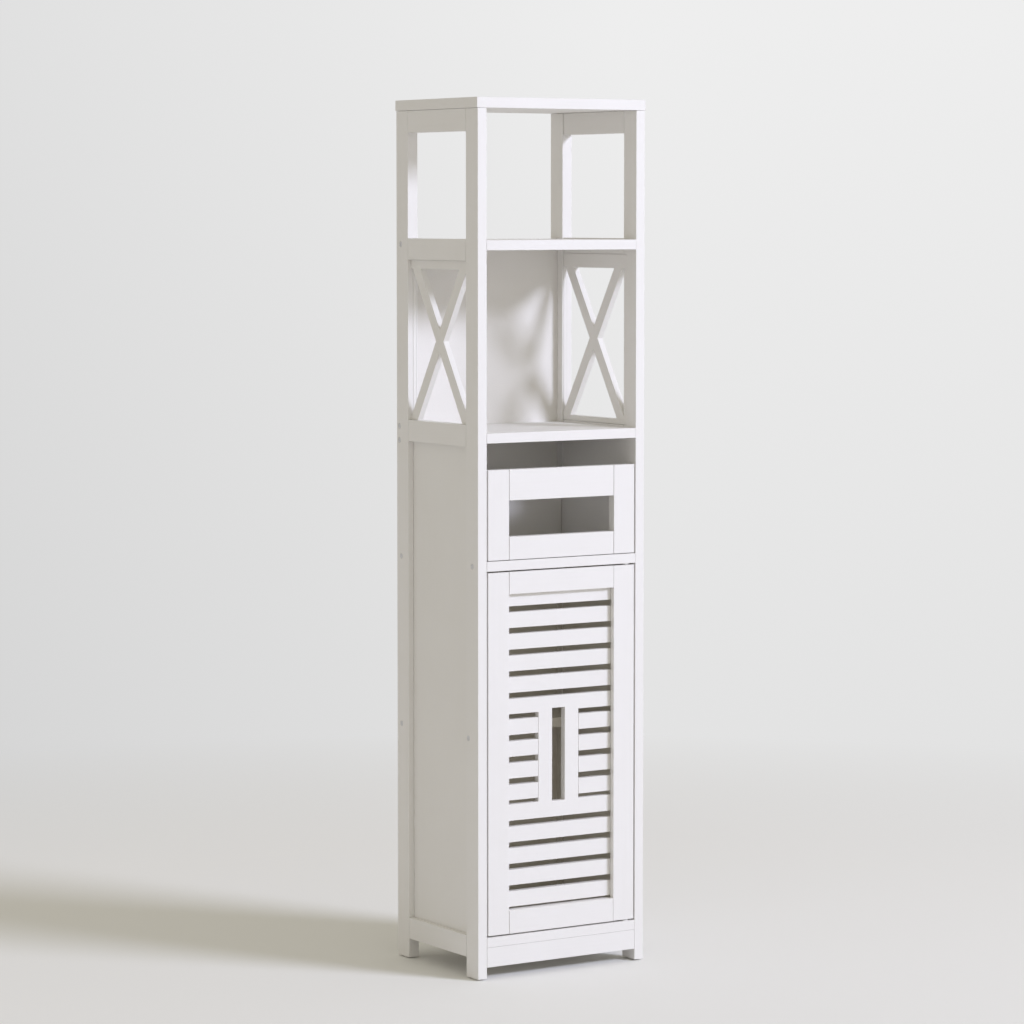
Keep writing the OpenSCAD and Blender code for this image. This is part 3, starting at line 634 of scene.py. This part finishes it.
runner_rows = [
    (small_screw(5.6, 1.6, 2.5, 18.2, 0.8), 22.5),
    (small_screw(5.6, 1.6, 2.5, 16.2, 0.8), 225.5),
]
fitting(
    "runner_fixing_screws",
    [(shell, "-x", (25.2, y, 725)) for shell, y in runner_rows]
    + [(shell, "+x", (292.8, y, 725)) for shell, y in runner_rows],
    bright_zinc, "carcass", ("runner_screws",),
)
drawer_screw = small_screw(7, 1.7, 2.5, 29.6, 0.9)
fitting(
    "drawer_box_screws",
    [(drawer_screw, "+x", (19.3, 202, z)) for z in (699, 762)]
    + [(drawer_screw, "-x", (298.7, 202, z)) for z in (699, 762)],
    bright_zinc, "drawer", ("drawer_screws",),
)
catch_screw = small_screw(6, 1.7, 2.6, 19.2, 0.9)
fitting(
    "catch_fixing_screws", [(catch_screw, "+z", (x, 27, 641.3)) for x in (90, 118)],
    bright_zinc, "carcass", ("catch_screws",),
)
plate_screw = small_screw(5.2, 0.7, 2.4, 11.0, 0.45)
fitting(
    "plate_fixing_screws", [(plate_screw, "-y", (x, 19.1, 643.5)) for x in (94, 114)],
    bright_zinc, "door", ("strike_screws",),
)
finish_with(ease("strike_plate", 0.0002, 0), bright_zinc)

# Door hinge.
# The door turns on two steel pins with chamfered ends, pressed into its right
# stile. Each pin runs in a flanged nylon bush let into the shelf above or below.
pin_x, pin_y = 285, 7
pin_shell = closed(turned(
    [1.2, 1.9, 2.3, 2.48, 2.48, 2.3, 1.9, 1.2], [0, 0, 0.2, 0.7, 24.3, 24.8, 25, 25], 32,
))
fitting(
    "chamfered_hinge_pins", [(pin_shell, "+z", (pin_x, pin_y, z)) for z in (60, 636)],
    bright_zinc, "door", ("hinge_pins",),
)
bush_nylon = surfaced(
    "bush_nylon", moulded_grain,
    {"Colour": (0.8, 0.79, 0.76, 1), "Dusty Colour": (0.7, 0.69, 0.65, 1),
     "Grain Scale": 2400.0},
    0.3, 0.00004,
)
bush_shell = hollow(turned(
    [2.55, 2.85, 3.7, 4.0, 4.0, 5.75, 6.0, 6.0, 5.7, 3.0, 2.55],
    [0.5, 0.0, 0.0, 0.5, 10.0, 10.0, 10.3, 11.2, 11.6, 11.6, 11.1], 40,
))
fitting(
    "flanged_hinge_bushes",
    [(bush_shell, "+z", (pin_x, pin_y, 58)), (bush_shell, "-z", (pin_x, pin_y, 663))],
    bush_nylon, "carcass", ("hinge_bushes",),
)

# Catch.
# A moulded housing screwed up under the drawer shelf holds a magnet between two
# steel pole plates, whose edges show as two bright strips at its front.
finish_with(ease("catch_body", 0.0007, 0), bush_nylon)


def rounded_slab(width, height, depth, radius, chamfer):
    """Rings of a rounded rectangle carried along Z: corner arcs of the given radius, drawn
    in by the chamfer at both ends; each ring has 8 points to a corner."""
    count = 32
    turn = (np.arange(count) + 0.5) * 2 * np.pi / count
    corner = np.stack([np.sign(np.cos(turn)), np.sign(np.sin(turn))], -1)
    rings = []
    for inset, z in ((chamfer, 0), (0, chamfer), (0, depth - chamfer), (chamfer, depth)):
        centre = corner * (np.array([width, height]) / 2 - radius)
        arc = np.stack([np.cos(turn), np.sin(turn)], -1) * (radius - inset)
        rings.append(np.concatenate([centre + arc, np.full((count, 1), z)], 1))
    return closed(np.stack(rings))


pole_plate = rounded_slab(1.6, 20, 0.5, 0.5, 0.08)
fitting(
    "magnet_pole_plates", [(pole_plate, "+y", (104, 19.3, z)) for z in (644.2, 649.8)],
    bright_zinc, "carcass",
)

# Drawer runners.
# Two white plastic runners are screwed to the legs and enter grooves in the
# drawer's sides. Their long edges are rounded so that the drawer goes on easily.
for side in ("left", "right"):
    finish_with(ease(f"{side}_runner", 0.0006, 0), bush_nylon)

# Dowels.
# Beech dowels, 6 mm thick with sixteen pressed flutes and chamfered ends, are glued
# in the corners of the side frames, the drawer front and the door.
beech_grain = new_group(
    "beech_grain",
    [
        ("Colour", "NodeSocketColor", (0.6, 0.42, 0.26, 1)),
        ("Pore Colour", "NodeSocketColor", (0.38, 0.24, 0.14, 1)),
        ("Along", "NodeSocketVector", (0.06, 1, 1)),
    ],
    [
        ("Colour", "NodeSocketColor"),
        ("Roughness", "NodeSocketFloat"),
        ("Height", "NodeSocketFloat"),
    ],
)


def fill_beech_grain(tree):
    """Pores = noise stretched along the dowel, above a level; rings = wide noise."""
    given = tree.nodes.new("NodeGroupInput").outputs
    made = tree.nodes.new("NodeGroupOutput").inputs
    stretched = add(tree, "VectorMath", operation="MULTIPLY")
    tree.links.new(add(tree, "TexCoord").outputs["Object"], stretched.inputs[0])
    tree.links.new(given["Along"], stretched.inputs[1])
    pores = noise(tree, stretched.outputs["Vector"], 1500.0, 3.0)
    rings = noise(tree, stretched.outputs["Vector"], 260.0, 2.0)
    dark = sums(
        tree, "ADD",
        remap(tree, pores, 0.55, 0.72, 0.0, 0.7),
        remap(tree, rings, 0.4, 0.7, 0.0, 0.3),
    )
    tree.links.new(blend(tree, dark, given["Colour"], given["Pore Colour"]), made["Colour"])
    tree.links.new(remap(tree, pores, 0.3, 0.7, 0.55, 0.72), made["Roughness"])
    tree.links.new(pores, made["Height"])


fill_beech_grain(beech_grain)


def dowel(length):
    """A rod of radius 2.98 - 0.22 * (1 + cos(16 angle)) / 2 between two smooth chamfers."""
    count, flutes, radius, flute_depth, chamfer = 64, 16, 2.98, 0.22, 1
    angle = np.arange(count) * 2 * np.pi / count
    fluted = (radius - flute_depth * (1 + np.cos(flutes * angle)) / 2)[None]
    end = even([1.4, 2.2], count)
    radii = np.concatenate([end, fluted, fluted, end[::-1]])
    return closed(turned(radii, [0, 0, chamfer, length - chamfer, length, length], count))


beech_across = surfaced("beech_across", beech_grain, {"Along": (0.06, 1, 1)}, 0.4, 0.00008)
beech_depth = surfaced("beech_depth", beech_grain, {"Along": (1, 0.06, 1)}, 0.4, 0.00008)
long_dowel, side_dowel, short_dowel = dowel(30), dowel(20), dowel(24)
rail_heights = [z + k for z in (51, 867, 1160.5, 1366) for k in (-9, 9)]
fitting(
    "fluted_frame_dowels",
    [(long_dowel, "+y", (x, y, z))
     for x in (5.5, 312.5) for y in (21, 198) for z in rail_heights]
    + [(long_dowel, "+x", (x, y, z)) for x in (5, 283)
       for y, z in ((15.8, 1168), (15.8, 864), (15.8, 60), (8, 34))]
    + [(short_dowel, "+z", spot) for spot in both_sides([(8.5, 12, 1368), (10, 237, 1368)])]
    + [(short_dowel, "+y", (x, 219, 864)) for x in (79, 239)],
    beech_depth, "carcass", ("frame_dowels",),
)
fitting(
    "fluted_drawer_dowels",
    [(long_dowel, "+x", (x, 8, z)) for x in (44, 244) for z in (689, 789)]
    + [(side_dowel, "+y", (x, 6, z)) for x in (25, 293) for z in (699, 762)],
    beech_across, "drawer", ("drawer_dowels",),
)
fitting(
    "fluted_door_dowels",
    [(long_dowel, "+x", (x, 9, z)) for x in (44, 244) for z in (80, 98, 624, 642)],
    beech_across, "door", ("door_dowels",),
)

# Studio.
# A pale floor that runs out to a pale backdrop without a line, one broad cool lamp at
# the front right, and an even, warm light from all round.


def srgb(level):
    """Linear value of a display level from 0 to 255."""
    part = np.asarray(level, float) / 255
    return np.where(part <= 0.04045, part / 12.92, ((part + 0.055) / 1.055) ** 2.4)


def floor_disc(radius, rings, spokes):
    """Point (i, k) = radius * (i / rings)^2 along the spoke k, in the plane z = 0."""
    r = radius * (np.arange(rings + 1) / rings) ** 2
    a = np.arange(spokes) / spokes * 2 * np.pi
    grid = np.stack(
        [r[:, None] * np.cos(a), r[:, None] * np.sin(a), np.zeros((rings + 1, spokes))], -1
    )
    i, k = np.meshgrid(np.arange(rings), np.arange(spokes), indexing="ij")
    n = (k + 1) % spokes
    faces = np.stack(
        [i * spokes + k, (i + 1) * spokes + k, (i + 1) * spokes + n, i * spokes + n], -1
    )
    mesh = bpy.data.meshes.new("floor")
    mesh.from_pydata(grid.reshape(-1, 3).tolist(), [], faces.reshape(-1, 4).tolist())
    merged = bmesh.new()
    merged.from_mesh(mesh)
    bmesh.ops.remove_doubles(merged, verts=merged.verts, dist=1e-6)
    merged.to_mesh(mesh)
    merged.free()
    return mesh


floor = bpy.data.objects.new("floor", floor_disc(radius=90.0, rings=40, spokes=96))
bpy.context.scene.collection.objects.link(floor)

# What the eye sees far off depends on a direction alone, and is painted light and shade: a
# pale wall painted darker towards its foot, a painted shade at the fold where the floor
# begins, and painted shade towards the left for the light falling off there and the cabinet's
# shadow on the wall. The floor takes its direction from one fixed point, where the
# photograph's camera stood, and doesn't read the camera.
PHOTO_PLACE = (-3.2445, -5.0516, 1.2201)
PHOTO_TURN = math.radians(32.5876)
PHOTO_DROP = math.radians(4.1753)
backdrop = new_group(
    "backdrop", [("Direction", "NodeSocketVector", (0, 1, 0))], [("Colour", "NodeSocketColor")]
)


def fill_backdrop(tree):
    """Colour = level by the rise of the direction * share by how far it points to the right.
    Each tone is the rise at which it lies and its display level. Both are painted light and
    shade: the level falls towards the wall's foot and the fold, and the share darkens the left."""
    given = tree.nodes.new("NodeGroupInput").outputs
    made = tree.nodes.new("NodeGroupOutput").inputs
    split = add(tree, "SeparateXYZ")
    tree.links.new(given["Direction"], split.inputs[0])
    # Painted light and shade: the wall's level falls towards its foot and is lowest at the
    # fold.
    ground, fold, wall_foot, wall_top = (-0.21, 225), (-0.168, 221), (-0.14, 227), (0.051, 238)
    tones = (ground, fold, wall_foot, wall_top)
    lowest, highest = -0.22, 0.06
    ramp = add(tree, "ValToRGB")
    while len(ramp.color_ramp.elements) < len(tones):
        ramp.color_ramp.elements.new(0.5)
    for element, (rise, level) in zip(ramp.color_ramp.elements, tones):
        element.position = (rise - lowest) / (highest - lowest)
        element.color = (*[float(srgb(level))] * 3, 1)
    rise = remap(tree, split.outputs["Z"], lowest, highest, 0.0, 1.0)
    tree.links.new(rise, ramp.inputs["Fac"])
    across = add(tree, "VectorMath", operation="DOT_PRODUCT")
    across.inputs[1].default_value = (math.cos(PHOTO_TURN), -math.sin(PHOTO_TURN), 0)
    tree.links.new(given["Direction"], across.inputs[0])
    # Painted shade: the backdrop is drawn darker towards the left.
    left_edge, middle, left_painted_shade = -0.138, 0.03, 0.875
    share = remap(tree, across.outputs["Value"], left_edge, middle, left_painted_shade, 1.0)
    shaded = add(tree, "VectorMath", operation="SCALE")
    tree.links.new(ramp.outputs["Color"], shaded.inputs[0])
    tree.links.new(share, shaded.inputs["Scale"])
    tree.links.new(shaded.outputs["Vector"], made["Colour"])


fill_backdrop(backdrop)


def eye_rays(tree):
    """1 for rays of the eye, of gloss and of glass, which show the backdrop, else 0."""
    seen = add(tree, "LightPath").outputs
    share = sums(tree, "MAXIMUM", seen["Is Camera Ray"], seen["Is Glossy Ray"])
    return sums(tree, "MAXIMUM", share, seen["Is Transmission Ray"])


floor_paint = bpy.data.materials.new("floor_paint")
floor_paint.use_nodes = True
tree = floor_paint.node_tree
tree.nodes.clear()
out = add(tree, "OutputMaterial")
place = add(tree, "TexCoord").outputs["Object"]
sight = add(tree, "VectorMath", operation="SUBTRACT")
sight.inputs[1].default_value = PHOTO_PLACE
tree.links.new(place, sight.inputs[0])
unit = add(tree, "VectorMath", operation="NORMALIZE")
tree.links.new(sight.outputs["Vector"], unit.inputs[0])
far_off = add(tree, "Group", node_tree=backdrop)
tree.links.new(unit.outputs["Vector"], far_off.inputs["Direction"])
shown = add(tree, "Emission")
tree.links.new(far_off.outputs["Colour"], shown.inputs["Color"])
by_eye = eye_rays(tree)
lit = add(tree, "BsdfDiffuse", Roughness=0.3)
light_return, eye_tone = (0.82, 0.815, 0.81, 1), (0.835, 0.83, 0.792, 1)
tree.links.new(blend(tree, by_eye, light_return, eye_tone), lit.inputs["Color"])
distance = add(tree, "VectorMath", operation="LENGTH")
tree.links.new(place, distance.inputs[0])
near_edge, far_edge = 1.1, 2.6
fade = remap(tree, distance.outputs["Value"], near_edge, far_edge, 0.0, 1.0)
both = add(tree, "MixShader")
tree.links.new(sums(tree, "MULTIPLY", fade, by_eye), both.inputs[0])
tree.links.new(lit.outputs[0], both.inputs[1])
tree.links.new(shown.outputs[0], both.inputs[2])
tree.links.new(both.outputs[0], out.inputs["Surface"])
floor.data.materials.append(floor_paint)

world = bpy.data.worlds.new("studio")
bpy.context.scene.world = world
world.use_nodes = True
tree = world.node_tree
tree.nodes.clear()
out = add(tree, "OutputWorld")
sky = add(tree, "Background")
far_off = add(tree, "Group", node_tree=backdrop)
tree.links.new(add(tree, "TexCoord").outputs["Generated"], far_off.inputs["Direction"])
by_eye = eye_rays(tree)
even_light = (0.563, 0.539, 0.485, 1)
tree.links.new(blend(tree, by_eye, even_light, far_off.outputs["Colour"]), sky.inputs["Color"])
tree.links.new(sky.outputs[0], out.inputs["Surface"])

lamp = bpy.data.lights.new("key_lamp", "AREA")
lamp.shape = "ELLIPSE"
lamp.size, lamp.size_y = 3.2, 1.5
lamp.energy = 685
lamp.color = (0.761, 0.794, 1.0)
key = bpy.data.objects.new("key_lamp", lamp)
bpy.context.scene.collection.objects.link(key)
key.location = (4.628, -7.261, 4.84)
key.rotation_euler = (math.acos(0.433), 0, math.atan2(0.5374, 0.8432))
key.visible_camera = False

# A small warm card behind the door lifts the shade in the closed bay; it stays in the
# bay when the door opens.
card = bpy.data.lights.new("bay_card", "AREA")
card.shape = "RECTANGLE"
card.size, card.size_y = 0.22, 0.5
card.energy = 0.055
card.color = (1.0, 0.9, 0.7)
glow = bpy.data.objects.new("bay_card", card)
bpy.context.scene.collection.objects.link(glow)
glow.location = (0, -0.095, 0.36)
glow.rotation_euler = (math.radians(90), 0, 0)
glow.visible_camera = False

# Camera.
# Placed where the photograph's two vanishing points put it, with a small
# downward shift of the lens so that the uprights stay nearly parallel.
lens = bpy.data.cameras.new("camera")
lens.lens = 130.17
lens.sensor_width = 36
lens.shift_y = -0.029
lens.clip_end = 200
camera = bpy.data.objects.new("camera", lens)
bpy.context.scene.collection.objects.link(camera)
camera.location = PHOTO_PLACE
camera.rotation_euler = (math.radians(90) - PHOTO_DROP, 0, -PHOTO_TURN)
bpy.context.scene.camera = camera
bpy.context.scene.view_settings.view_transform = "Standard"
